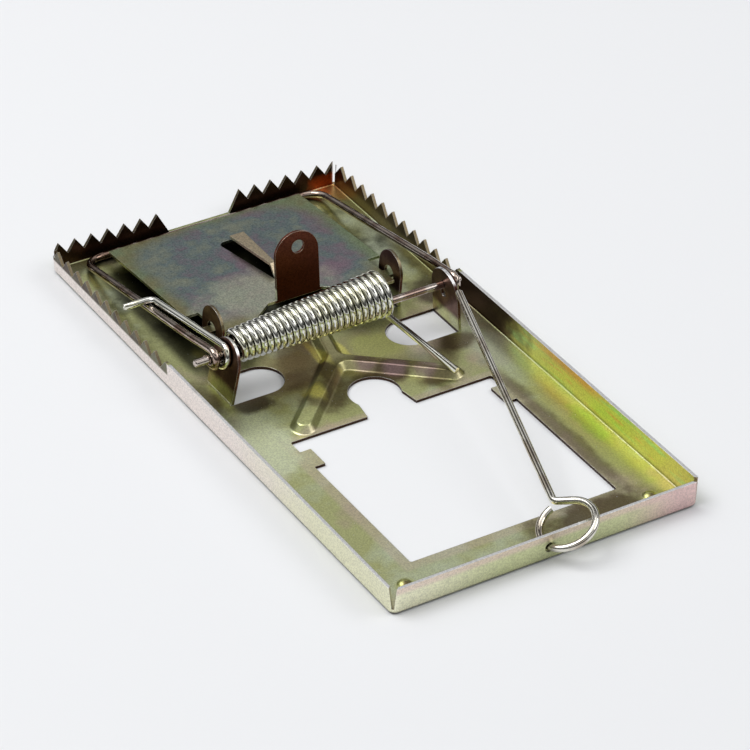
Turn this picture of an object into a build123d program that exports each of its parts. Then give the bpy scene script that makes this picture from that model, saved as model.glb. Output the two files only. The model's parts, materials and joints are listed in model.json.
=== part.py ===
from build123d import *
from math import atan2, cos, degrees, radians, sin, sqrt, tan
import os

# Snap mouse trap of stamped plated sheet and bent wire. Millimetres, +Z up.
# Each piece is drawn with X from the centre line, Y from the tray's hinge-bar end
# and Z from the tray's underside. The pieces are then moved together, so that the
# origin is the bottom centre of the whole trap. The serrated end is towards +Y.

# Sheet and tray
SHEET = 0.8
TRAY_WIDTH = 85.2
TRAY_LENGTH = 170.2
TRAY_Y0 = -0.2
TRAY_HEIGHT = 7.5
WALL_LEAN = 2.8
CORNER_RADIUS = 1.8
BEND_RADIUS = 1.1
INNER_BEND_RADIUS = 0.5

# Serrations
TOOTH_VALLEY = 4.2
SIDE_TEETH = 11
SIDE_TOOTH_PITCH = 5.29
SIDE_FIRST_TIP = 113.3
SIDE_NOTCH_START = 107.6
END_TEETH = 7
END_TOOTH_PITCH = 4.8
END_LEFT_TIP = -40.5
END_RIGHT_TIP = 13.1
END_GAP_LEFT = -8.4
END_GAP_RIGHT = 9.7
END_GAP_FLOOR = 1.4

# Openings in the floor
WINDOW_X = 0.2
WINDOW_HALF_WIDTH = 28.9
WINDOW_NEAR = 14.4
WINDOW_FAR = 70.3
LIP_LENGTH = 3.0
LIP_NEAR = 58.6
LIP_FAR = 65.6
NOTCH_CENTRE_Y = 78.6
NOTCH_RADIUS = 6.8
NOTCH_MOUTH = 7.0

# Pressed ribs and dimples
RIB_HEIGHT = 2.0
RIB_LEAN = 38.0
RIB_JUNCTION = (-1.7, 95.0)
RIB_ARMS = [((-22.6, 74.2), 6.6), ((21.3, 75.7), 5.6), ((0.9, 106.0), 5.6)]
RIB_INNER_ROUND = 1.5
RIB_CREST_ROUND = 0.7
RIB_FOOT_ROUND = 0.9
DIMPLE_X = 34.2
DIMPLE_Y = 8.0
DIMPLE_RADIUS = 1.9
DIMPLE_HEIGHT = 1.0

# Ears that carry the pivot rod
EAR_X = 32.7
EAR_Y = 97.4
EAR_WIDTH = 12.3
EAR_TOP = 16.0
EAR_SLOT_END = 15.6
LEFT_EAR_LEAN = 12.0
RIGHT_EAR_LEAN = 4.0
LOW_HOLE_RADIUS = 1.15
LOW_HOLE_Z = 8.95

# Ears that carry the trigger plate
TRIGGER_EAR_X = 25.4
TRIGGER_EAR_Y = 114.2
TRIGGER_EAR_WIDTH = 10.4
TRIGGER_EAR_TOP = 14.2
LEFT_TRIGGER_LEAN = 2.0
RIGHT_TRIGGER_LEAN = -4.0
TRIGGER_SLOT_END = 12.6
TRIGGER_HOLE_RADIUS = 2.2

# Pivot rod
ROD_Y = 98.0
ROD_Z = 11.5
ROD_RADIUS = 1.0
ROD_LEFT = -39.8
ROD_RIGHT = 37.0
ROD_CLEARANCE = 0.08

# Striker jaw
JAW_WIRE = 1.0
JAW_HOOK_X = 34.75
JAW_CORNER_X = 35.1
JAW_BAR_Y = 166.7
JAW_BAR_Z = 1.95
JAW_CORNER = 5.0
JAW_TAIL = 3.6
JAW_KNEE = 14.0

# Trigger plate
PLATE_PIVOT_Y = 114.5
PLATE_PIVOT_Z = 7.6
PLATE_SLOPE = 4.5
PLATE_HALF_WIDTH = 28.6
PLATE_NECK_HALF_WIDTH = 24.9
PLATE_NEAR = -4.5
PLATE_STEP = 9.0
PLATE_FAR = 50.6
PLATE_NOTCH_DEPTH = 3.1
TRUNNION_WIDTH = 3.2
TRUNNION_END = 28.0
TONGUE_X = 1.1
TONGUE_WIDTH = 12.6
TONGUE_TOP = 18.2
TONGUE_HOLE_X = 0.4
TONGUE_HOLE_Z = 13.9
TONGUE_HOLE_RADIUS = 1.8
TONGUE_BEND = 0.8
SLOT_X = 1.1
SLOT_NEAR = 13.0
SLOT_FAR = 38.4
SLOT_NEAR_WIDTH = 2.4
SLOT_FAR_WIDTH = 8.4
BAIT_RISE = 3.1
BAIT_RAMP = 3.2
BAIT_END = 35.2
BAIT_WAIST = 1.5
BAIT_END_WIDTH = 4.1

# Torsion spring
COIL_WIRE = 0.86
COIL_LEFT = -28.9
COIL_TURNS = 24
COIL_PITCH = 1.77
COIL_LEFT_RADIUS = 3.6
COIL_RIGHT_RADIUS = 5.4
COIL_SEAT = 0.15
SPRING_LOOP_X = -32.15
SPRING_LOOP_RADIUS = 2.75
SPRING_ELBOW_X = -33.65
SPRING_ELBOW_Y = 131.4
SPRING_TIP_X = -41.6
SPRING_BEND = 2.2
SPRING_GAP = 0.08
FIXED_LEG_END = (20.3, 72.6, 3.85)

# Hold-down bar
BAR_WIRE = 0.95
EYE_RADIUS = 7.0
EYE_CENTRE = (6.4, 1.8, 6.7)
EYE_TILT = 25.5
EYE_FREE_END = 90.0
EYE_SWEEP = 312.0
EYE_NECK = 5.1
EYE_BEND = 2.0
BAR_TIP = (24.5, 83.4)
EYE_HOLE_RADIUS = 1.4

WALL_SPREAD = TRAY_HEIGHT * tan(radians(WALL_LEAN))
FAR_END = TRAY_Y0 + TRAY_LENGTH + WALL_SPREAD
NEAR_END = EYE_CENTRE[1] - EYE_RADIUS - BAR_WIRE
MIDDLE_Y = (FAR_END + NEAR_END) / 2


def leaning_box(inset, base, edge):
    """A rounded box whose walls lean outwards, rounded along its bottom edge."""
    outline = RectangleRounded(
        TRAY_WIDTH - 2 * inset, TRAY_LENGTH - 2 * inset, CORNER_RADIUS - inset
    )
    block = extrude(outline, amount=TRAY_HEIGHT, taper=-WALL_LEAN)
    block = fillet(block.edges().group_by(Axis.Z)[0], edge)
    return Pos(0, TRAY_Y0 + TRAY_LENGTH / 2, base) * block


def side_tooth_cut():
    """The outline above the teeth of the two long walls, cut through both."""
    half = SIDE_TOOTH_PITCH / 2
    above = TRAY_HEIGHT + 2
    outline = [(SIDE_NOTCH_START, above), (SIDE_NOTCH_START, TRAY_HEIGHT)]
    for tooth in range(SIDE_TEETH):
        tip = SIDE_FIRST_TIP + tooth * SIDE_TOOTH_PITCH
        outline += [(tip - half, TOOTH_VALLEY), (tip, TRAY_HEIGHT)]
    last_valley = tip + half
    far_wall = TRAY_Y0 + TRAY_LENGTH - SHEET
    outline += [(last_valley, TOOTH_VALLEY), (far_wall, TOOTH_VALLEY), (far_wall, above)]
    face = Plane.YZ * make_face(Polyline(*outline, close=True))
    return extrude(face, amount=TRAY_WIDTH, both=True)


def end_tooth_cut():
    """The outline above the two groups of teeth of the far wall and the gap between them."""
    half = END_TOOTH_PITCH / 2
    above = TRAY_HEIGHT + 2
    edge = TRAY_WIDTH / 2 + 5
    outline = [(-edge, above), (-edge, TOOTH_VALLEY)]
    for first_tip in (END_LEFT_TIP, END_RIGHT_TIP):
        if first_tip == END_RIGHT_TIP:
            outline += [(END_GAP_LEFT, END_GAP_FLOOR), (END_GAP_RIGHT, END_GAP_FLOOR)]
            outline += [(first_tip, TRAY_HEIGHT)]
        else:
            outline += [(first_tip - half, TOOTH_VALLEY), (first_tip, TRAY_HEIGHT)]
        for tooth in range(1, END_TEETH):
            tip = first_tip + tooth * END_TOOTH_PITCH
            outline += [(tip - half, TOOTH_VALLEY), (tip, TRAY_HEIGHT)]
    outline += [(tip + half, TOOTH_VALLEY), (edge, TOOTH_VALLEY), (edge, above)]
    face = Plane.XZ * make_face(Polyline(*outline, close=True))
    return Pos(0, FAR_END, 0) * extrude(face, amount=3, both=True)


def corner_slit(side, end, top_width, bottom_width, bottom):
    """The gap that the bending leaves where two walls meet."""
    corner_y = TRAY_Y0 if end < 0 else TRAY_Y0 + TRAY_LENGTH
    plane = Plane(
        origin=(side * TRAY_WIDTH / 2, corner_y, 0),
        x_dir=(-end, side, 0),
        z_dir=(side, end, 0),
    )
    above = TRAY_HEIGHT + 2
    outline = Polyline(
        (-bottom_width / 2, bottom),
        (bottom_width / 2, bottom),
        (top_width / 2, above),
        (-top_width / 2, above),
        close=True,
    )
    return extrude(plane * make_face(outline), amount=3.5, both=True)


def window_cut():
    """The large opening with its two small lips and the keyhole notch in its far edge."""
    length = WINDOW_FAR - WINDOW_NEAR
    opening = Pos(0, WINDOW_NEAR + length / 2) * RectangleRounded(2 * WINDOW_HALF_WIDTH, length, 0.6)
    for side in (-1, 1):
        lip_x = side * (WINDOW_HALF_WIDTH - LIP_LENGTH / 2)
        lip = Pos(lip_x, (LIP_NEAR + LIP_FAR) / 2) * Rectangle(LIP_LENGTH, LIP_FAR - LIP_NEAR)
        opening -= lip
    neck = NOTCH_RADIUS * 0.86
    flare = Polyline(
        (-NOTCH_MOUTH, WINDOW_FAR - 1),
        (NOTCH_MOUTH, WINDOW_FAR - 1),
        (NOTCH_MOUTH, WINDOW_FAR),
        (neck, NOTCH_CENTRE_Y),
        (-neck, NOTCH_CENTRE_Y),
        (-NOTCH_MOUTH, WINDOW_FAR),
        close=True,
    )
    opening += make_face(flare)
    opening += Pos(0, NOTCH_CENTRE_Y) * Circle(NOTCH_RADIUS)
    return Pos(WINDOW_X, 0, 0) * extrude(opening, amount=SHEET * 3, both=True)


def d_shaped(width, length):
    """A tab outline from its bend line at x = 0 to its round end at x = length."""
    radius = width / 2
    straight = length - radius
    return Pos(straight / 2, 0) * Rectangle(straight, width) + Pos(straight, 0) * Circle(radius)


def ear_slot(side, bend_x, centre_y, width, end_x):
    """The hole left in the floor where an ear was cut out and bent up."""
    turn = 180 if side > 0 else 0
    outline = Pos(side * bend_x, centre_y) * Rot(0, 0, turn) * d_shaped(width, bend_x - end_x)
    return extrude(outline, amount=SHEET * 3, both=True)


def ear(side, bend_x, centre_y, width, top, lean):
    """An upright ear standing on the outer edge of its slot, leaning inwards."""
    radius = width / 2
    root = SHEET / 2
    straight = top - root - radius
    outline = Pos(0, straight / 2) * Rectangle(width, straight) + Pos(0, straight) * Circle(radius)
    blade = extrude(Plane.YZ * outline, amount=SHEET / 2, both=True)
    heel = Pos(0, 0, SHEET / 2) * Box(SHEET, width, SHEET)
    blade = Rot(0, -side * lean, 0) * blade + heel
    return Pos(side * (bend_x + SHEET / 2), centre_y, root) * blade


def rib_outline(shrink):
    """The three arms of the pressed Y-shaped rib, seen from above."""
    outline = Sketch()
    for end, width in RIB_ARMS:
        run = Vector(*end) - Vector(*RIB_JUNCTION)
        middle = (Vector(*end) + Vector(*RIB_JUNCTION)) * 0.5
        slot = SlotCenterToCenter(run.length, width - 2 * shrink)
        outline += Pos(middle.X, middle.Y) * Rot(0, 0, degrees(atan2(run.Y, run.X))) * slot
    return offset(offset(outline, amount=RIB_INNER_ROUND), amount=-RIB_INNER_ROUND)


def rib(shrink, base):
    """The rib as a solid with sloping sides."""
    block = extrude(rib_outline(shrink), amount=RIB_HEIGHT, taper=RIB_LEAN)
    block = fillet(block.edges().group_by(Axis.Z)[-1], RIB_CREST_ROUND)
    return Pos(0, 0, base) * block


def dimple(side, thinner):
    """A small spherical bump near the bar end of the tray."""
    radius = (DIMPLE_RADIUS**2 + DIMPLE_HEIGHT**2) / (2 * DIMPLE_HEIGHT)
    centre_z = SHEET + DIMPLE_HEIGHT - radius
    cap = Pos(0, 0, centre_z) * Sphere(radius - thinner)
    cap &= Pos(0, 0, radius) * Box(4 * radius, 4 * radius, 2 * radius)
    return Pos(side * DIMPLE_X, DIMPLE_Y, 0) * cap


def across(radius, y, z):
    """A long cylinder along X, for the holes that the rod and the trunnions need."""
    return Pos(0, y, z) * Rot(0, 90, 0) * Cylinder(radius, 2 * TRAY_WIDTH)


def eye_hole():
    """The hole in the near wall that the hold-down bar's eye is threaded through."""
    wall_y = TRAY_Y0 - WALL_SPREAD / 2 + SHEET / 2
    reach = sqrt(EYE_RADIUS**2 - (EYE_CENTRE[1] - wall_y) ** 2)
    x = EYE_CENTRE[0] - reach * cos(radians(EYE_TILT))
    z = EYE_CENTRE[2] - reach * sin(radians(EYE_TILT))
    return Pos(x, wall_y, z) * Rot(90, 0, 0) * Cylinder(EYE_HOLE_RADIUS, 4)


def base_tray():
    """The stamped tray: floor, leaning walls with teeth, ears, rib, dimples and openings."""
    tray = leaning_box(0, 0, BEND_RADIUS) - leaning_box(SHEET, SHEET, INNER_BEND_RADIUS)
    tray -= side_tooth_cut()
    tray -= end_tooth_cut()
    for side in (-1, 1):
        tray -= corner_slit(side, -1, 2.3, 0.6, 1.5)
        tray -= corner_slit(side, 1, 0.9, 0.7, 1.2)
    tray -= window_cut()
    tray -= eye_hole()
    pressed = rib(0, SHEET)
    tray += pressed
    foot = tray.edges().filter_by(
        lambda e: abs(e.bounding_box().max.Z - SHEET) < 0.01 and pressed.distance_to(e) < 0.001
    )
    tray = fillet(foot, RIB_FOOT_ROUND)
    tray -= rib(0.3, 0)
    leans = ((-1, LEFT_EAR_LEAN, LEFT_TRIGGER_LEAN), (1, RIGHT_EAR_LEAN, RIGHT_TRIGGER_LEAN))
    for side, lean, trigger_lean in leans:
        tray -= ear_slot(side, EAR_X, EAR_Y, EAR_WIDTH, EAR_SLOT_END)
        tray -= ear_slot(
            side, TRIGGER_EAR_X, TRIGGER_EAR_Y, TRIGGER_EAR_WIDTH, TRIGGER_SLOT_END
        )
        tray += dimple(side, 0)
        tray -= dimple(side, SHEET)
        pivot_ear = ear(side, EAR_X, EAR_Y, EAR_WIDTH, EAR_TOP, lean)
        pivot_ear -= across(ROD_RADIUS + ROD_CLEARANCE, ROD_Y, ROD_Z)
        pivot_ear -= across(LOW_HOLE_RADIUS, ROD_Y, LOW_HOLE_Z)
        trigger_ear = ear(
            side, TRIGGER_EAR_X, TRIGGER_EAR_Y, TRIGGER_EAR_WIDTH, TRIGGER_EAR_TOP, trigger_lean
        )
        trigger_ear -= across(TRIGGER_HOLE_RADIUS, PLATE_PIVOT_Y, PLATE_PIVOT_Z)
        tray += pivot_ear
        tray += trigger_ear
    return tray


def plate_outline():
    """The flat trigger plate, with y measured from its pivot line."""
    neck = PLATE_NECK_HALF_WIDTH
    wide = PLATE_HALF_WIDTH
    outline = Pos(0, (PLATE_NEAR + PLATE_FAR) / 2) * Rectangle(2 * neck, PLATE_FAR - PLATE_NEAR)
    outline += Pos(0, (PLATE_STEP + PLATE_FAR) / 2) * Rectangle(2 * wide, PLATE_FAR - PLATE_STEP)
    outline += Rectangle(2 * TRUNNION_END, TRUNNION_WIDTH)
    slope = PLATE_NOTCH_DEPTH - PLATE_NEAR
    flat = 7.8
    notch = Polyline(
        (-flat, PLATE_NOTCH_DEPTH),
        (flat, PLATE_NOTCH_DEPTH),
        (flat + 1.25 * slope, PLATE_NEAR),
        (flat + 1.25 * slope, PLATE_NEAR - 2),
        (-flat - 1.25 * slope, PLATE_NEAR - 2),
        (-flat - 1.25 * slope, PLATE_NEAR),
        close=True,
    )
    outline -= make_face(notch)
    return outline - slot_outline()


def slot_outline():
    """The wedge-shaped hole under the bait tab."""
    near = SLOT_NEAR_WIDTH / 2
    far = SLOT_FAR_WIDTH / 2
    wedge = Polyline(
        (-near, SLOT_NEAR), (near, SLOT_NEAR), (far, SLOT_FAR), (-far, SLOT_FAR), close=True
    )
    face = make_face(wedge)
    face = fillet(face.vertices().group_by(Axis.Y)[-1], 2.0)
    return Pos(SLOT_X, 0) * face


def tongue():
    """The upright catch tongue with its hole, bent up at the far side of the notch."""
    radius = TONGUE_WIDTH / 2
    height = TONGUE_TOP - radius
    outline = Pos(0, height / 2) * Rectangle(TONGUE_WIDTH, height) + Pos(0, height) * Circle(radius)
    outline -= Pos(TONGUE_HOLE_X, TONGUE_HOLE_Z) * Circle(TONGUE_HOLE_RADIUS)
    blade = extrude(Plane.XZ * outline, amount=-SHEET)
    return Pos(TONGUE_X, PLATE_NOTCH_DEPTH, 0) * blade


def bait_tab():
    """The narrow tab that rises out of the slot and ends in a wider blade."""
    half = SHEET / 2
    profile = Polyline(
        (SLOT_NEAR - 1, -half),
        (SLOT_NEAR + half, -half),
        (SLOT_NEAR + BAIT_RAMP + half, BAIT_RISE - half),
        (BAIT_END, BAIT_RISE - half),
        (BAIT_END, BAIT_RISE + half),
        (SLOT_NEAR + BAIT_RAMP, BAIT_RISE + half),
        (SLOT_NEAR, half),
        (SLOT_NEAR - 1, half),
        close=True,
    )
    strip = extrude(Plane.YZ * make_face(profile), amount=SLOT_FAR_WIDTH, both=True)
    waist_y = SLOT_NEAR + BAIT_RAMP
    plan = Polyline(
        (-SLOT_NEAR_WIDTH / 2, SLOT_NEAR - 1),
        (SLOT_NEAR_WIDTH / 2, SLOT_NEAR - 1),
        (SLOT_NEAR_WIDTH / 2, SLOT_NEAR),
        (BAIT_WAIST / 2, waist_y),
        (BAIT_END_WIDTH / 2, BAIT_END),
        (-BAIT_END_WIDTH / 2, BAIT_END),
        (-BAIT_WAIST / 2, waist_y),
        (-SLOT_NEAR_WIDTH / 2, SLOT_NEAR),
        close=True,
    )
    trim = extrude(make_face(plan), amount=2 * BAIT_RISE, both=True)
    return Pos(SLOT_X, 0, 0) * (strip & trim)


def trigger_plate():
    """The tilting plate with its trunnions, catch tongue and bait tab."""
    plate = extrude(plate_outline(), amount=SHEET / 2, both=True)
    plate += tongue()
    bend = plate.edges().filter_by(Axis.X).filter_by_position(
        Axis.Y, PLATE_NOTCH_DEPTH + SHEET - 0.01, PLATE_NOTCH_DEPTH + SHEET + 0.01
    )
    inner = bend.filter_by_position(Axis.Z, SHEET / 2 - 0.01, SHEET / 2 + 0.01)
    plate = fillet(inner, TONGUE_BEND)
    plate += bait_tab()
    return Pos(0, PLATE_PIVOT_Y, PLATE_PIVOT_Z) * Rot(-PLATE_SLOPE, 0, 0) * plate


def wire(path, radius):
    """A round wire along a path."""
    section = Plane(origin=path @ 0, z_dir=path % 0) * Circle(radius)
    return sweep(section, path=path)


def pivot_rod():
    """The straight rod through both ears, with softened ends."""
    length = ROD_RIGHT - ROD_LEFT
    rod = chamfer(Cylinder(ROD_RADIUS, length).edges().filter_by(GeomType.CIRCLE), 0.25)
    return Pos((ROD_LEFT + ROD_RIGHT) / 2, ROD_Y, ROD_Z) * Rot(0, 90, 0) * rod


def jaw_arm():
    """The start, direction and length of a jaw arm, which leaves the rod's top."""
    hook = ROD_RADIUS + ROD_CLEARANCE + JAW_WIRE
    rise = JAW_BAR_Z - ROD_Z
    run = JAW_BAR_Y - ROD_Y
    reach = sqrt(run**2 + rise**2 - hook**2)
    slope = atan2(rise, run) - atan2(hook, reach)
    direction = Vector(0, cos(slope), sin(slope))
    top = Vector(0, ROD_Y - hook * direction.Z, ROD_Z + hook * direction.Y)
    return hook, top, direction, reach


def striker_jaw():
    """The U-shaped jaw, its arms ending in hooks that turn on the rod."""
    hook, top, direction, reach = jaw_arm()
    start_angle = degrees(atan2(direction.Z, direction.Y)) + 90
    corner = top + direction * (reach - JAW_CORNER)
    bar = top + direction * reach
    pieces = []
    for side in (-1, 1):
        hook_x = Vector(side * JAW_HOOK_X, 0, 0)
        arm_x = Vector(side * JAW_CORNER_X, 0, 0)
        bottom = hook_x + Vector(0, ROD_Y, ROD_Z - hook)
        knee = top + direction * JAW_KNEE
        bend_end = bar + Vector(side * (JAW_CORNER_X - JAW_CORNER), 0, 0)
        turn = Plane(origin=(side * JAW_HOOK_X, ROD_Y, ROD_Z), x_dir=(0, 1, 0), z_dir=(1, 0, 0))
        pieces.append(Line(bottom + Vector(0, JAW_TAIL, 0), bottom))
        pieces.append(turn * CenterArc((0, 0), hook, start_angle, 270 - start_angle))
        pieces.append(Spline(hook_x + top, arm_x + knee, tangents=(direction, direction)))
        pieces.append(Line(arm_x + knee, arm_x + corner))
        pieces.append(TangentArc(arm_x + corner, bend_end, tangent=direction))
    inner = JAW_CORNER_X - JAW_CORNER
    pieces.append(Line(bar + Vector(-inner, 0, 0), bar + Vector(inner, 0, 0)))
    return wire(Wire(pieces), JAW_WIRE)


def coil_frame():
    """The plane at the coil's left end, with the coil's axis as its normal."""
    centre_z = ROD_Z - ROD_RADIUS + COIL_LEFT_RADIUS - COIL_WIRE - COIL_SEAT
    cone = atan2(COIL_RIGHT_RADIUS - COIL_LEFT_RADIUS, COIL_TURNS * COIL_PITCH)
    axis = Vector(cos(cone), 0, sin(cone))
    return Plane(origin=(COIL_LEFT, ROD_Y, centre_z), x_dir=(sin(cone), 0, -cos(cone)), z_dir=axis)


def torsion_spring():
    """The tapered coil over the rod, its fixed leg and the leg that drives the jaw."""
    length = COIL_TURNS * COIL_PITCH
    cone = degrees(atan2(COIL_RIGHT_RADIUS - COIL_LEFT_RADIUS, length))
    frame = coil_frame()
    helix = frame * Helix(COIL_PITCH, length, COIL_LEFT_RADIUS, cone_angle=cone)
    coil = wire(helix, COIL_WIRE)
    left_end = helix @ 0
    right_end = helix @ 1
    _, arm_top, arm, _ = jaw_arm()
    arm_z = arm_top.Z + (SPRING_ELBOW_Y - arm_top.Y) * arm.Z / arm.Y
    elbow = Vector(SPRING_ELBOW_X, SPRING_ELBOW_Y, arm_z + JAW_WIRE + COIL_WIRE + SPRING_GAP)
    tip = Vector(SPRING_TIP_X, elbow.Y, elbow.Z)
    centre = Vector(SPRING_LOOP_X, ROD_Y, ROD_Z)
    lean = radians(LEFT_EAR_LEAN)
    normal = (elbow - centre).cross(Vector(sin(lean), 0, cos(lean)))
    loop_plane = Plane(origin=centre, x_dir=Vector(0, 0, 1).cross(normal), z_dir=normal)
    aim = loop_plane.to_local_coords(elbow)
    reach = sqrt(aim.X**2 + aim.Y**2 - SPRING_LOOP_RADIUS**2)
    slope = atan2(aim.Y, aim.X) - atan2(SPRING_LOOP_RADIUS, reach)
    start_angle = 90 + degrees(slope)
    loop = loop_plane * CenterArc((0, 0), SPRING_LOOP_RADIUS, start_angle, 270 - start_angle)
    low = loop @ 1
    leg = FilletPolyline(loop @ 0, elbow, tip, radius=SPRING_BEND)
    spring = coil + wire(Wire([loop] + leg.edges()), COIL_WIRE)
    spring += wire(Line(left_end, low), COIL_WIRE)
    spring += wire(Line(right_end, Vector(*FIXED_LEG_END)), COIL_WIRE)
    for bend in (left_end, right_end, low):
        spring += Pos(bend) * Sphere(COIL_WIRE + 0.02)
    return spring


def hold_down_bar():
    """The straight bar and its eye, bent from one wire in one tilted plane."""
    tilt = radians(EYE_TILT)
    plane = Plane(origin=EYE_CENTRE, x_dir=(cos(tilt), 0, sin(tilt)), z_dir=(-sin(tilt), 0, cos(tilt)))
    leave = radians(EYE_FREE_END + EYE_SWEEP)
    on_eye = (EYE_RADIUS * cos(leave), EYE_RADIUS * sin(leave))
    bend = (on_eye[0] - EYE_NECK * sin(leave), on_eye[1] + EYE_NECK * cos(leave))
    eye = CenterArc((0, 0), EYE_RADIUS, EYE_FREE_END, EYE_SWEEP)
    shaft = FilletPolyline(on_eye, bend, BAR_TIP, radius=EYE_BEND)
    return wire(Wire([plane * eye] + (plane * shaft).edges()), BAR_WIRE)


PIECES = {
    "base_tray": base_tray,
    "trigger_plate": trigger_plate,
    "striker_jaw": striker_jaw,
    "pivot_rod": pivot_rod,
    "torsion_spring": torsion_spring,
    "hold_down_bar": hold_down_bar,
}

os.makedirs("parts", exist_ok=True)
for name, build in PIECES.items():
    export_step(Pos(0, -MIDDLE_Y, 0) * build(), f"parts/{name}.step")
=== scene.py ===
import json
import math

import bmesh
import bpy
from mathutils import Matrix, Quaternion, Vector


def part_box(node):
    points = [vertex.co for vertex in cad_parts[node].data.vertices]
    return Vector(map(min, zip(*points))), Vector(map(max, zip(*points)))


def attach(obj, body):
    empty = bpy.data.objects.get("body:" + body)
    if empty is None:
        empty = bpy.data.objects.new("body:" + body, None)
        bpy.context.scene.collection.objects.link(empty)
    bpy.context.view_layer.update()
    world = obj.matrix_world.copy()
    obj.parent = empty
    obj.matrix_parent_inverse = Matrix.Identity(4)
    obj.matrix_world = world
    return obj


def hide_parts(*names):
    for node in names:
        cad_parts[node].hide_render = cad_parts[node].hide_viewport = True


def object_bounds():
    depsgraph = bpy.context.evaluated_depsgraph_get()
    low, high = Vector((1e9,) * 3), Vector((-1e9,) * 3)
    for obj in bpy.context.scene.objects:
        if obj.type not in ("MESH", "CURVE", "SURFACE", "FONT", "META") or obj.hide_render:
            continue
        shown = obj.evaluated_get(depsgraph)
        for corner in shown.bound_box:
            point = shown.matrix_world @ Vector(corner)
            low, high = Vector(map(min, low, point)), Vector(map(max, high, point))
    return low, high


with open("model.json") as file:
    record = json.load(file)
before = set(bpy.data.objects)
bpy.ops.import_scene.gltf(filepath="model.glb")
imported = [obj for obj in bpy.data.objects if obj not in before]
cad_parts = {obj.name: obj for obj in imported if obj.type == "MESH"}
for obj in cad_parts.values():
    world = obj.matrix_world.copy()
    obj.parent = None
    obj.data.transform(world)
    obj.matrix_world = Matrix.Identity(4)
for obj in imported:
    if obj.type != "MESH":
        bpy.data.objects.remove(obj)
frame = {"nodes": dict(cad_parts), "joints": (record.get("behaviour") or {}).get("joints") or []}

# Looks for the snap mouse trap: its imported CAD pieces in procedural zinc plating, a spring
# parted at the left ear so that its leg swings with the jaw, and a soft white studio.

MM = 0.001
cad_low, cad_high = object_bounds()
tray_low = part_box("base_tray")[0]
joints = {joint["name"]: joint for joint in frame["joints"]}
rod_axis = Vector(joints["jaw_swing"]["pos_m"])


# ---------------------------------------------------------------- node helpers

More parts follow.
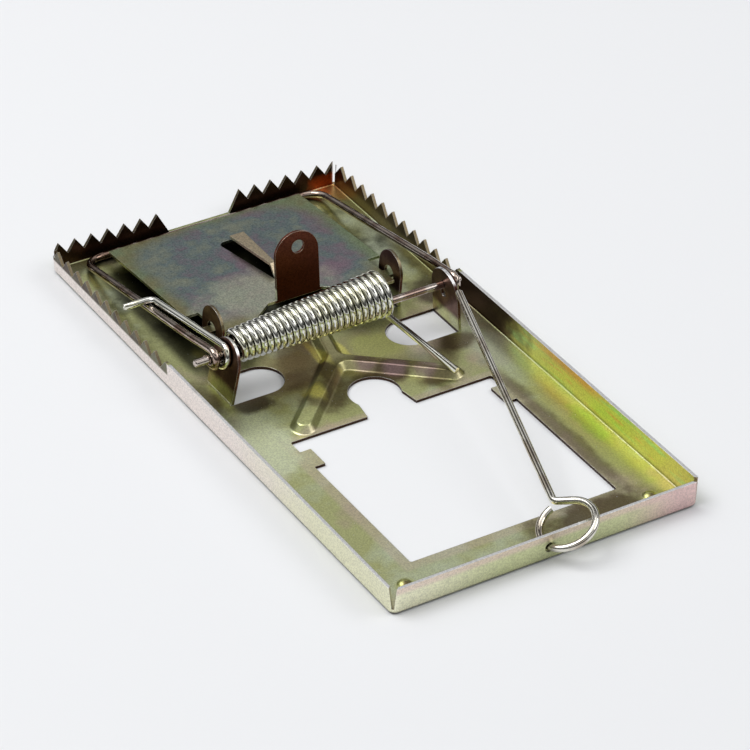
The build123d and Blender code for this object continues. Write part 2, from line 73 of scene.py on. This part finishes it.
class Nodes:
    """A material's node tree with short calls for the nodes that are used here."""

    def __init__(self, name):
        self.material = bpy.data.materials.new(name)
        self.material.use_nodes = True
        self.tree = self.material.node_tree
        self.tree.nodes.clear()
        self.rounded = None
        self.output = self.add("ShaderNodeOutputMaterial")
        self.shader = self.add("ShaderNodeBsdfPrincipled")
        self.link(self.shader.outputs["BSDF"], self.output.inputs["Surface"])
        own = self.add("ShaderNodeTexCoord")
        self.position = own.outputs["Object"]
        self.facing = self.axes(own.outputs["Normal"])

    def add(self, kind, **settings):
        node = self.tree.nodes.new(kind)
        for key, value in settings.items():
            setattr(node, key, value)
        return node

    def link(self, source, target):
        self.tree.links.new(source, target)

    def put(self, target, value):
        if isinstance(value, bpy.types.NodeSocket):
            self.link(value, target)
        else:
            target.default_value = value

    def math(self, operation, a, b=0.0, clamp=False):
        node = self.add("ShaderNodeMath", operation=operation, use_clamp=clamp)
        self.put(node.inputs[0], a)
        self.put(node.inputs[1], b)
        return node.outputs[0]

    def ramp(self, value, low, high):
        """0 below low, 1 above high, smooth between."""
        node = self.add("ShaderNodeMapRange", interpolation_type="SMOOTHSTEP")
        self.put(node.inputs["Value"], value)
        self.put(node.inputs["From Min"], low)
        self.put(node.inputs["From Max"], high)
        return node.outputs["Result"]

    def scale(self, value, low, high):
        """A 0 to 1 value spread over low to high."""
        node = self.add("ShaderNodeMapRange")
        self.put(node.inputs["Value"], value)
        self.put(node.inputs["To Min"], low)
        self.put(node.inputs["To Max"], high)
        return node.outputs["Result"]

    def between(self, value, low, high, soft):
        """1 from low to high, with soft ends."""
        rise = self.ramp(value, low - soft, low + soft)
        fall = self.ramp(value, high + soft, high - soft)
        return self.math("MULTIPLY", rise, fall)

    def all_of(self, *masks):
        result = masks[0]
        for mask in masks[1:]:
            result = self.math("MULTIPLY", result, mask)
        return result

    def axes(self, vector):
        node = self.add("ShaderNodeSeparateXYZ")
        self.link(vector, node.inputs[0])
        return node.outputs

    def stretched(self, vector, scales):
        node = self.add("ShaderNodeMapping")
        self.link(vector, node.inputs["Vector"])
        node.inputs["Scale"].default_value = scales
        return node.outputs[0]

    def noise(self, vector, size, detail=3.0, roughness=0.55, offset=0.0):
        """Noise whose features are about size metres across."""
        node = self.add("ShaderNodeTexNoise", noise_dimensions="4D")
        self.link(vector, node.inputs["Vector"])
        self.put(node.inputs["Scale"], 1.0 / size)
        self.put(node.inputs["Detail"], detail)
        self.put(node.inputs["Roughness"], roughness)
        self.put(node.inputs["W"], offset)
        return node.outputs["Fac"]

    def colours(self, value, stops):
        node = self.add("ShaderNodeValToRGB")
        self.link(value, node.inputs["Fac"])
        band = node.color_ramp
        while len(band.elements) < len(stops):
            band.elements.new(0.5)
        for element, (place, colour) in zip(band.elements, stops):
            element.position = place
            element.color = (*colour, 1.0)
        return node.outputs["Color"]

    def mix(self, share, a, b, kind="MIX"):
        node = self.add("ShaderNodeMix", data_type="RGBA", blend_type=kind)
        for socket, value in (("Factor_Float", share), ("A_Color", a), ("B_Color", b)):
            target = next(s for s in node.inputs if s.identifier == socket)
            if isinstance(value, tuple):
                value = (*value, 1.0)
            self.put(target, value)
        return next(s for s in node.outputs if s.identifier == "Result_Color")

    def measure(self, origin):
        """Sets x, along and up, the place on the object in millimetres from an origin."""
        node = self.add("ShaderNodeVectorMath", operation="SUBTRACT")
        self.link(self.position, node.inputs[0])
        node.inputs[1].default_value = origin
        scaled = self.add("ShaderNodeVectorMath", operation="SCALE")
        self.link(node.outputs[0], scaled.inputs[0])
        scaled.inputs["Scale"].default_value = 1 / MM
        self.x, self.along, self.up = self.axes(scaled.outputs[0])
        self.ragged = self.math("SUBTRACT", self.noise(self.position, 7 * MM, 4.0, 0.6, 4.4), 0.5)

    def patch(self, x, along, half_x, half_along, soft=0.45):
        """A ragged oval patch, in millimetres."""
        across = self.math("DIVIDE", self.math("SUBTRACT", self.x, x), half_x)
        down = self.math("DIVIDE", self.math("SUBTRACT", self.along, along), half_along)
        squares = self.math("ADD", self.math("POWER", self.math("ABSOLUTE", across), 2.0),
                            self.math("POWER", self.math("ABSOLUTE", down), 2.0))
        push = self.math("MULTIPLY", self.ragged, PATCH_RAGGEDNESS)
        reach = self.math("ADD", self.math("SQRT", squares), push)
        return self.ramp(reach, 1 + soft, 1 - soft)

    def edges(self, radius):
        """Rounds the shaded edges and returns a mask that is 1 along them."""
        rounded = self.add("ShaderNodeBevel", samples=6)
        rounded.inputs["Radius"].default_value = radius
        geometry = self.add("ShaderNodeNewGeometry")
        turn = self.add("ShaderNodeVectorMath", operation="DOT_PRODUCT")
        self.link(rounded.outputs[0], turn.inputs[0])
        self.link(geometry.outputs["Normal"], turn.inputs[1])
        self.rounded = rounded.outputs[0]
        return self.ramp(turn.outputs["Value"], 0.995, 0.93)

    def crevices(self, distance):
        """A mask that is 1 deep in gaps and corners."""
        node = self.add("ShaderNodeAmbientOcclusion", samples=8)
        node.inputs["Distance"].default_value = distance
        return self.ramp(node.outputs["AO"], 0.75, 0.15)

    def bump(self, height, strength, distance):
        node = self.add("ShaderNodeBump")
        if self.rounded:
            self.link(self.rounded, node.inputs["Normal"])
        self.link(height, node.inputs["Height"])
        node.inputs["Strength"].default_value = strength
        node.inputs["Distance"].default_value = distance
        self.link(node.outputs["Normal"], self.shader.inputs["Normal"])


# ------------------------------------------------------------------- materials

# How much of the studio's light each kind of face mirrors to the camera.
STUDIO_LEVEL = 0.60
PLATE_LEVEL = 0.40
FLANGE_LEVEL = 0.42
DISPLAY_GAMMA = 2.2

# Places on the tray in millimetres: x from its middle line, along from its near end, up
# from the ground.
WINDOW_LEFT = -31.5
WINDOW_RIGHT = 31.8
WINDOW_NEAR = 12.2
WINDOW_FAR = 72.8
WALL_X = 38
FAR_WALL = 164
TEETH_START = 107
TOOTH_ROOT = 3.7
SHEET_TOP = 0.95

# Places on the trigger plate: along from the rod. The plate drops away from the rod.
PLATE_HALF_WIDTH = 28.6
PLATE_MIDDLE = 41.0
PLATE_HALF_LENGTH = 27.0
PLATE_HINGE = 16.5
PLATE_SLOPE = 0.0785
BAIT_TAB_UP = 8.7

# How far the noise pushes a patch's outline in and out, as a share of the patch's size.
PATCH_RAGGEDNESS = 1.9
EDGE_RADIUS = 0.16 * MM


def shown(red, green, blue, level=STUDIO_LEVEL):
    """The metal colour that shows as this display colour where it mirrors that much light."""
    return tuple(min(1.0, (value / 255) ** DISPLAY_GAMMA / level) for value in (red, green, blue))


OLIVE = shown(163, 166, 118)
GREY_GREEN = shown(178, 186, 158)
PALE_GREEN = shown(196, 202, 172)
TAN = shown(166, 154, 130)
YELLOW_GREEN = shown(164, 166, 104)
LIME = shown(140, 172, 84)
ORANGE = shown(196, 142, 62)
GOLD = shown(216, 196, 110)
PURPLE = shown(128, 106, 108)
EMBER = shown(205, 92, 48)
BEIGE = shown(196, 195, 170)
ROSE = shown(205, 194, 188)
MAUVE = shown(186, 162, 158)
BROWN = shown(86, 74, 56)
DARK_BROWN = shown(58, 44, 36)
RED_BROWN = shown(66, 40, 34)
ROSE_TAN = shown(186, 172, 154)
UMBER = shown(136, 116, 92)
PAINTED_SHADE_BLACK = shown(24, 20, 16)
CREAM = shown(228, 222, 206)
PAINTED_CREVICE_SHADE = (0.02, 0.014, 0.01)
PAINTED_WIRE_GAP_SHADE = (0.02, 0.016, 0.012)


# Patches of the tray's floor, later ones on top: x, along, half_x and half_along in
# millimetres, then strength and colour.
FLOOR_PATCHES = [
    # Painted shadow under the trigger plate.
    (0.0, 143.0, 31.0, 27.0, 0.95, PAINTED_SHADE_BLACK),
    (2.0, 95.0, 30.0, 14.0, 0.40, UMBER),
    (37.0, 36.0, 5.0, 30.0, 0.85, YELLOW_GREEN),
    (38.5, 40.0, 2.5, 9.0, 0.70, LIME),
    (36.0, 80.0, 6.0, 14.0, 0.70, GREY_GREEN),
    (-35.0, 74.0, 8.0, 14.0, 0.85, PALE_GREEN),
    (-32.0, 8.0, 9.0, 7.0, 0.70, GREY_GREEN),
    (19.0, 9.5, 17.0, 5.5, 0.90, BROWN),
    (31.2, 42.0, 2.3, 34.0, 0.65, BROWN),
    (-28.0, 90.0, 6.0, 3.2, 0.85, DARK_BROWN),
    (-12.0, 83.0, 6.5, 5.0, 0.75, BROWN),
    (6.0, 84.0, 8.5, 3.6, 0.80, DARK_BROWN),
    (12.0, 97.0, 8.0, 7.0, 0.90, YELLOW_GREEN),
    (30.0, 88.0, 6.5, 3.6, 0.85, BROWN),
    (17.0, 76.5, 6.0, 2.6, 0.80, BROWN),
    (-37.5, 97.0, 3.5, 7.0, 0.75, BROWN),
    (-29.3, 116.5, 1.6, 2.6, 0.95, GOLD),
    # The next two: painted yellow-green glints around the dimples.
    (-34.2, 8.0, 2.6, 2.6, 0.95, YELLOW_GREEN),
    (34.2, 8.0, 2.6, 2.6, 0.95, YELLOW_GREEN),
    (-34.2, 7.0, 1.3, 1.5, 0.90, BROWN),
    (34.2, 7.0, 1.3, 1.5, 0.90, BROWN),
    (-6.0, 90.0, 3.0, 6.0, 0.55, RED_BROWN),
    (36.5, 111.0, 4.5, 9.0, 0.80, DARK_BROWN),
    (22.0, 92.0, 4.0, 5.0, 0.55, ROSE_TAN),
    (-16.0, 93.0, 8.0, 4.0, 0.60, BROWN),
    (40.5, 166.0, 4.0, 5.0, 0.70, ORANGE),
    (-3.8, 100.0, 1.2, 6.5, 0.90, GOLD),
    (2.9, 101.0, 1.1, 5.5, 0.90, GOLD),
    (4.0, 90.2, 2.6, 2.4, 0.65, PURPLE),
    (10.0, 85.2, 2.8, 2.4, 0.65, PURPLE),
    (16.0, 80.2, 2.8, 2.4, 0.65, PURPLE),
    (-13.5, 85.0, 2.6, 3.6, 0.80, GOLD),
]


def film_coat(n, colour, base_roughness, speckle):
    """Speckled plating over fine-grained metal, with painted shade darkening its crevices."""
    grain = n.noise(n.position, 0.42 * MM, 2.0, 0.65, 5.0)
    fine = n.noise(n.position, 0.9 * MM, 3.0, 0.7, 1.3)
    medium = n.noise(n.position, 6 * MM, 4.0, 0.6, 7.7)
    n.put(n.shader.inputs["Metallic"], 1.0)
    colour = n.mix(n.scale(n.ramp(grain, 0.32, 0.70), 0.0, speckle), colour, (0.0, 0.0, 0.0))
    dust = n.ramp(n.noise(n.position, 0.5 * MM, 1.0, 0.5, 12.0), 0.74, 0.78)
    dust = n.all_of(dust, n.ramp(n.facing[2], 0.8, 0.95), 0.6)
    colour = n.mix(dust, colour, CREAM)
    # Painted shade: the base colour goes dark brown in crevices and under parts, by ambient
    # occlusion.
    colour = n.mix(n.math("MULTIPLY", n.crevices(2.2 * MM), 0.75), colour, PAINTED_CREVICE_SHADE)
    n.link(colour, n.shader.inputs["Base Color"])
    gloss = n.scale(medium, base_roughness - 0.07, base_roughness + 0.09)
    n.link(gloss, n.shader.inputs["Roughness"])
    n.bump(fine, 0.22, 0.04 * MM)


def tray_plating():
    """The tray's film: olive and yellow floor, vivid right flange, dark far end, ears darkened
    partly by painted reflection; painted shade near the plate and on cut faces, painted
    highlights on edges.
    """
    n = Nodes("tray_plating")
    n.measure((0, tray_low.y, 0))
    edge_highlight_mask = n.edges(EDGE_RADIUS)
    face_x, face_y, face_z = n.facing
    broad = n.noise(n.position, 24 * MM, 3.0, 0.55, 3.1)
    floor = n.colours(n.ramp(broad, 0.34, 0.66),
                      [(0.0, TAN), (0.3, OLIVE), (0.65, OLIVE), (1.0, GREY_GREEN)])
    rim = n.all_of(n.between(n.x, WINDOW_LEFT, WINDOW_RIGHT, 0.8),
                   n.between(n.along, WINDOW_NEAR, WINDOW_FAR, 0.8))
    floor = n.mix(n.math("MULTIPLY", rim, n.scale(n.ragged, 0.5, 0.9)), floor, ROSE_TAN)
    for x, along, half_x, half_along, strength, colour in FLOOR_PATCHES:
        share = n.math("MULTIPLY", n.patch(x, along, half_x, half_along), strength)
        floor = n.mix(share, floor, colour)
    # Painted shade on the floor beside the plate's left edge.
    shade_beside_plate = n.all_of(n.between(n.x, -34.5, -24.0, 1.6),
                            n.between(n.along, TEETH_START + 1, 160, 4.0), 0.85)
    floor = n.mix(shade_beside_plate, floor, PAINTED_SHADE_BLACK)
    streak = n.noise(n.stretched(n.position, (0.6, 0.25, 2.0)), 5 * MM, 3.0, 0.55, 8.0)
    yellow_green = shown(160, 160, 96, FLANGE_LEVEL)
    flange = n.colours(n.ramp(streak, 0.32, 0.70), [
        (0.0, shown(184, 138, 92, FLANGE_LEVEL)), (0.22, yellow_green), (0.62, yellow_green),
        (1.0, shown(140, 168, 112, FLANGE_LEVEL))])
    flange = n.mix(n.all_of(n.between(n.along, 42, 70, 8), n.ramp(n.up, 4.5, 6.5), 0.7),
                   flange, shown(188, 118, 74, FLANGE_LEVEL))
    shade = n.math("ADD", n.along, n.math("MULTIPLY", n.ragged, 26.0))
    flange = n.mix(n.ramp(shade, 70, 84), flange, BROWN)
    flange = n.mix(n.ramp(shade, 80, 92), flange, DARK_BROWN)
    beyond = n.ramp(n.along, TEETH_START, TEETH_START + 3)
    flange = n.mix(beyond, flange, shown(96, 84, 60))
    flange = n.mix(n.all_of(beyond, n.ramp(n.up, 3.0, 4.6)), flange, shown(68, 54, 40))
    outer = n.mix(n.ramp(shade, 30, 78), BEIGE, ROSE)
    teeth = n.all_of(n.ramp(n.along, TEETH_START, TEETH_START + 0.6),
                     n.ramp(n.up, TOOTH_ROOT, TOOTH_ROOT + 0.8))
    tooth_colour = n.mix(n.ramp(n.ragged, -0.08, 0.10), shown(58, 46, 34), shown(88, 88, 66))
    outer = n.mix(teeth, outer, tooth_colour)
    near = n.mix(n.ramp(n.x, -40, -8), BEIGE, shown(168, 172, 134))
    near = n.mix(n.ramp(n.x, 18, 38), near, MAUVE)
    near = n.mix(n.math("MULTIPLY", n.ramp(n.up, 5.0, 6.6), 0.6), near, MAUVE)
    ember = n.all_of(n.ramp(n.math("ADD", n.x, n.math("MULTIPLY", n.ragged, 12.0)), 33, 39),
                     n.ramp(n.up, 5.2, 3.8), 0.6)
    far = n.mix(ember, DARK_BROWN, EMBER)
    colour = floor
    left_side = n.all_of(n.ramp(face_x, -0.55, -0.75), n.ramp(n.x, -WALL_X, -WALL_X - 1))
    right_side = n.all_of(n.ramp(face_x, -0.55, -0.75), n.ramp(n.x, WALL_X, WALL_X + 1))
    near_side = n.all_of(n.ramp(face_y, -0.55, -0.75), n.ramp(n.along, 4, 2))
    far_side = n.all_of(n.ramp(face_y, -0.55, -0.75), n.ramp(n.along, FAR_WALL, FAR_WALL + 1))
    colour = n.mix(left_side, colour, outer)
    colour = n.mix(right_side, colour, flange)
    colour = n.mix(near_side, colour, near)
    colour = n.mix(far_side, colour, far)
    inside = n.between(n.x, -36, 36, 0.3)
    # Ears: red-brown plating, darkened further with painted dark reflection.
    ears = n.all_of(inside, n.between(n.along, 84, 124, 1.0), n.ramp(n.up, 3.2, 5.5))
    ear_tint_and_dark_reflection = n.mix(n.ramp(n.ragged, -0.12, 0.12), RED_BROWN, shown(100, 76, 64))
    colour = n.mix(ears, colour, ear_tint_and_dark_reflection)
    # Painted shade on the window's cut faces.
    cut = n.all_of(n.ramp(face_z, 0.35, 0.15), n.ramp(n.up, SHEET_TOP, SHEET_TOP - 0.2), inside,
                   n.ramp(n.along, 8, 10))
    colour = n.mix(cut, colour, DARK_BROWN)
    serrated = n.all_of(n.ramp(n.along, TEETH_START, TEETH_START + 1), n.ramp(n.up, 3.9, 4.3),
                        n.ramp(n.math("ABSOLUTE", face_z), 0.15, 0.3))
    colour = n.mix(serrated, colour, shown(112, 102, 82))
    # Painted highlight on the flanges' upward top edges.
    top = n.all_of(n.ramp(face_z, 0.6, 0.8), n.ramp(n.up, 6.6, 7.0),
                   n.ramp(n.along, TEETH_START, TEETH_START - 1))
    colour = n.mix(top, colour, CREAM)
    # Painted highlight along the rounded edges.
    colour = n.mix(n.math("MULTIPLY", edge_highlight_mask, 0.45), colour, CREAM)
    film_coat(n, colour, 0.33, 0.26)
    return n.material


def plate_plating():
    """The trigger plate's film: blue, purple and green in the middle, olive at its borders."""
    n = Nodes("plate_plating")
    n.measure((0, rod_axis.y, 0))
    edge_highlight_mask = n.edges(EDGE_RADIUS)
    broad = n.noise(n.position, 15 * MM, 5.0, 0.68, 6.2)
    middle = n.colours(n.ramp(broad, 0.33, 0.67), [
        (0.0, shown(120, 102, 112, PLATE_LEVEL)), (0.35, shown(110, 104, 110, PLATE_LEVEL)),
        (0.65, shown(98, 110, 110, PLATE_LEVEL)), (1.0, shown(122, 126, 112, PLATE_LEVEL))])
    rim = n.colours(n.ramp(n.noise(n.position, 9 * MM, 3.0, 0.5, 2.2), 0.35, 0.65), [
        (0.0, shown(118, 112, 82, PLATE_LEVEL)), (1.0, shown(112, 124, 96, PLATE_LEVEL))])
    side = n.math("DIVIDE", n.math("ABSOLUTE", n.x), PLATE_HALF_WIDTH)
    from_middle = n.math("SUBTRACT", n.along, PLATE_MIDDLE)
    length = n.math("ABSOLUTE", n.math("DIVIDE", from_middle, PLATE_HALF_LENGTH))
    out = n.math("ADD", n.math("POWER", side, 5.0), n.math("POWER", length, 5.0))
    out = n.math("ADD", out, n.math("MULTIPLY", n.ragged, 0.5))
    colour = n.mix(n.ramp(out, 0.25, 0.95), middle, rim)
    bright = n.all_of(n.patch(-6.0, 24.0, 16.0, 11.0), 0.7)
    colour = n.mix(bright, colour, shown(160, 162, 142, PLATE_LEVEL))
    standing = n.math("MAXIMUM", n.ramp(n.up, 10.4, 11.0),
                      n.ramp(n.math("ABSOLUTE", n.facing[1]), 0.3, 0.6))
    upright = n.all_of(standing, n.between(n.along, 17.5, 23.0, 0.5),
                       n.between(n.x, -6, 8, 0.5))
    # The tongue: red-brown plating, darkened with painted dark reflection, lighter upward.
    tongue_tint_and_dark_reflection = n.mix(n.ramp(n.up, 12.0, 24.0), shown(52, 28, 20, PLATE_LEVEL),
                 shown(84, 50, 42, PLATE_LEVEL))
    colour = n.mix(upright, colour, tongue_tint_and_dark_reflection)
    drop = n.math("MULTIPLY", n.math("SUBTRACT", n.along, PLATE_HINGE), PLATE_SLOPE)
    level = n.math("ADD", n.up, drop)
    bait = n.all_of(n.between(n.along, 29.0, 53.0, 0.5),
                    n.ramp(level, BAIT_TAB_UP, BAIT_TAB_UP + 0.6))
    colour = n.mix(bait, colour, shown(150, 138, 116, PLATE_LEVEL))
    # Painted highlight along the rounded edges.
    colour = n.mix(n.math("MULTIPLY", edge_highlight_mask, 0.5), colour, shown(176, 168, 150, PLATE_LEVEL))
    film_coat(n, colour, 0.30, 0.42)
    return n.material


def plated_wire(name, colour, tint, roughness):
    """Drawn and plated wire: fine streaks, a little tint, small dull spots and painted shade in
    gaps.
    """
    n = Nodes(name)
    cloud = n.noise(n.position, 6 * MM, 3.0, 0.5, 2.0)
    fine = n.noise(n.position, 0.5 * MM, 2.0, 0.6, 9.0)
    metal = n.mix(n.ramp(cloud, 0.42, 0.62), colour, tint)
    # Painted shade: dark in the gaps between coil turns and where wires come close.
    metal = n.mix(n.crevices(1.2 * MM), metal, PAINTED_WIRE_GAP_SHADE)
    n.link(metal, n.shader.inputs["Base Color"])
    n.put(n.shader.inputs["Metallic"], 1.0)
    n.link(n.scale(fine, roughness - 0.05, roughness + 0.08), n.shader.inputs["Roughness"])
    n.bump(fine, 0.15, 0.03 * MM)
    return n.material


# ---------------------------------------------------------------------- pieces

def keep(node, material):
    """Gives a CAD node that stays its finished material."""
    piece = frame["nodes"][node]
    piece.data.materials.clear()
    piece.data.materials.append(material)


# Where the spring is parted: outside the left ear, along its lean in degrees.
WELD = 0.002 * MM
CREASE_DEGREES = 32
LEFT_EAR_LEAN = 12
CUT_X = -31.65 * MM
CUT_DROP = 2.7 * MM


def spring_part(name, body, cut_place, cut_normal, material):
    """The part of the spring on one side of a flat cut, welded and capped, on a body."""
    mesh = bpy.data.meshes.new(name)
    part = bmesh.new()
    part.from_mesh(frame["nodes"]["torsion_spring"].data)
    bmesh.ops.remove_doubles(part, verts=part.verts, dist=WELD)
    everything = part.verts[:] + part.edges[:] + part.faces[:]
    cut = bmesh.ops.bisect_plane(part, geom=everything, dist=0.0001 * MM, plane_co=cut_place,
                                 plane_no=cut_normal, clear_outer=True)
    rim = [item for item in cut["geom_cut"] if isinstance(item, bmesh.types.BMEdge)]
    bmesh.ops.holes_fill(part, edges=rim)
    part.to_mesh(mesh)
    part.free()
    mesh.materials.append(material)
    mesh.shade_smooth()
    mesh.set_sharp_from_angle(angle=math.radians(CREASE_DEGREES))
    piece = bpy.data.objects.new(name, mesh)
    bpy.context.scene.collection.objects.link(piece)
    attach(piece, body)
    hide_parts("torsion_spring")


def split_spring(material):
    """The spring, parted just outside the left ear, where its wire turns in the ear's hole."""
    place = Vector((CUT_X, rod_axis.y, rod_axis.z - CUT_DROP))
    lean = math.radians(LEFT_EAR_LEAN)
    outward = Vector((-math.cos(lean), 0, math.sin(lean)))
    spring_part("coil_spring", "base", place, outward, material)
    spring_part("spring_leg", "jaw", place, -outward, material)


keep("base_tray", tray_plating())
keep("trigger_plate", plate_plating())
keep("striker_jaw", plated_wire("jaw_plating", (0.52, 0.44, 0.38), (0.26, 0.17, 0.13), 0.11))
keep("pivot_rod", plated_wire("rod_plating", (0.60, 0.53, 0.48), (0.34, 0.24, 0.20), 0.12))
keep("hold_down_bar", plated_wire("bar_plating", (0.74, 0.72, 0.64), (0.48, 0.42, 0.34), 0.11))
split_spring(plated_wire("spring_plating", (0.80, 0.80, 0.74), (0.72, 0.71, 0.56), 0.09))


# ---------------------------------------------------------------------- studio

FLOOR_GAP = 0.02 * MM


def studio_floor():
    """A plain pale floor, just under the trap."""
    mesh = bpy.data.meshes.new("floor")
    reach = 3.0
    corners = [(-reach, -reach, 0), (reach, -reach, 0), (reach, reach, 0), (-reach, reach, 0)]
    mesh.from_pydata(corners, [], [(0, 1, 2, 3)])
    floor = bpy.data.objects.new("floor", mesh)
    floor.location.z = cad_low.z - FLOOR_GAP
    bpy.context.scene.collection.objects.link(floor)
    n = Nodes("floor_white")
    tone = n.noise(n.position, 0.4, 2.0, 0.5, 1.0)
    n.link(n.mix(tone, (0.80, 0.81, 0.825), (0.83, 0.84, 0.855)), n.shader.inputs["Base Color"])
    n.shader.inputs["Roughness"].default_value = 0.9
    n.shader.inputs["Specular IOR Level"].default_value = 0.2
    mesh.materials.append(n.material)


def softbox(name, place, width, height, power):
    """A large soft light panel, aimed at the trap."""
    lamp = bpy.data.lights.new(name, "AREA")
    lamp.shape = "RECTANGLE"
    lamp.size = width
    lamp.size_y = height
    lamp.energy = power
    panel = bpy.data.objects.new(name, lamp)
    panel.location = place
    panel.rotation_mode = "QUATERNION"
    panel.rotation_quaternion = (-Vector(place)).to_track_quat("-Z", "Y")
    bpy.context.scene.collection.objects.link(panel)


# The sky's brightness, by height from straight down at 0 to straight up at 1.
SKY_BANDS = [(0.0, 0.20), (0.12, 0.06), (0.36, 0.16), (0.54, 0.85), (0.68, 0.95),
             (0.74, 0.10), (0.87, 0.12), (0.92, 1.6), (1.0, 1.7)]
SKY_STRENGTH = 0.80


def studio_world():
    """White bands above, with dark ones between, so that each wire shows two highlights."""
    world = bpy.data.worlds.new("studio")
    bpy.context.scene.world = world
    world.use_nodes = True
    tree = world.node_tree
    tree.nodes.clear()
    output = tree.nodes.new("ShaderNodeOutputWorld")
    background = tree.nodes.new("ShaderNodeBackground")
    where = tree.nodes.new("ShaderNodeTexCoord")
    split = tree.nodes.new("ShaderNodeSeparateXYZ")
    band = tree.nodes.new("ShaderNodeValToRGB")
    tree.links.new(where.outputs["Generated"], split.inputs[0])
    tree.links.new(split.outputs["Z"], band.inputs["Fac"])
    tree.links.new(band.outputs["Color"], background.inputs["Color"])
    tree.links.new(background.outputs["Background"], output.inputs["Surface"])
    while len(band.color_ramp.elements) < len(SKY_BANDS):
        band.color_ramp.elements.new(0.5)
    for element, (place, level) in zip(band.color_ramp.elements, SKY_BANDS):
        element.position = place
        element.color = (level, level, level * 1.01, 1.0)
    background.inputs["Strength"].default_value = SKY_STRENGTH


# The photo's camera: angles in degrees, distance and lens in millimetres.
VIEW_AZIMUTH = 31.378
VIEW_ELEVATION = 34.123
VIEW_ROLL = 0.605
VIEW_DISTANCE = 946.15
AIM_X = 4.77 * MM
AIM_BEFORE_ROD = 11.97 * MM
LENS = 181.92


def camera():
    """A long lens from the near left, above the bar's end of the trap."""
    lens = bpy.data.cameras.new("camera")
    lens.sensor_width = 36.0
    lens.lens = LENS
    lens.clip_start = 0.05
    lens.clip_end = 20.0
    view = bpy.data.objects.new("camera", lens)
    bpy.context.scene.collection.objects.link(view)
    aim = Vector((AIM_X, rod_axis.y - AIM_BEFORE_ROD, 0.0))
    azimuth, elevation, roll = (
        math.radians(angle) for angle in (VIEW_AZIMUTH, VIEW_ELEVATION, VIEW_ROLL))
    back = Vector((-math.sin(azimuth) * math.cos(elevation),
                   -math.cos(azimuth) * math.cos(elevation), math.sin(elevation)))
    view.location = aim + back * VIEW_DISTANCE * MM
    view.rotation_mode = "QUATERNION"
    level = (-back).to_track_quat("-Z", "Y")
    view.rotation_quaternion = level @ Quaternion((0, 0, 1), roll)
    bpy.context.scene.camera = view


studio_floor()
studio_world()
softbox("key", (-0.5, 0.35, 1.1), 0.9, 0.7, 8.6)
softbox("fill", (0.9, -0.5, 0.9), 0.8, 0.8, 4.1)
camera()
bpy.context.scene.view_settings.view_transform = "Standard"
